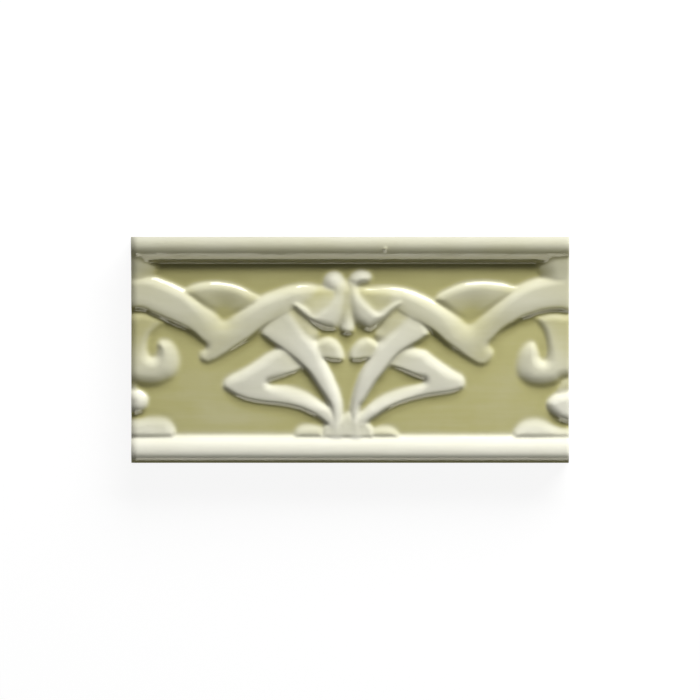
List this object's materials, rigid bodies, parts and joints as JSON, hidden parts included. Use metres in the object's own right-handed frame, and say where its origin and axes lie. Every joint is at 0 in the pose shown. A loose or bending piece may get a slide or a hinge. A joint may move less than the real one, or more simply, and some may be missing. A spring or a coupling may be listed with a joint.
{
  "type": "glazed relief border tile",
  "caption": "Oblong glazed wall border tile with rounded mouldings along head and foot and a raised interlaced stem and leaf frieze between them.",
  "frame": {"origin": "middle of the tile's back, on the plane that beds on the wall", "axes": "+X along the border, +Y from the foot moulding to the head moulding, +Z out of the glazed face"},
  "size_m": [0.148, 0.0764, 0.0124],
  "materials": {
    "glaze": "gloss"
  },
  "bodies": {
    "root": {"tile": "glaze"}
  },
  "joints": []
}
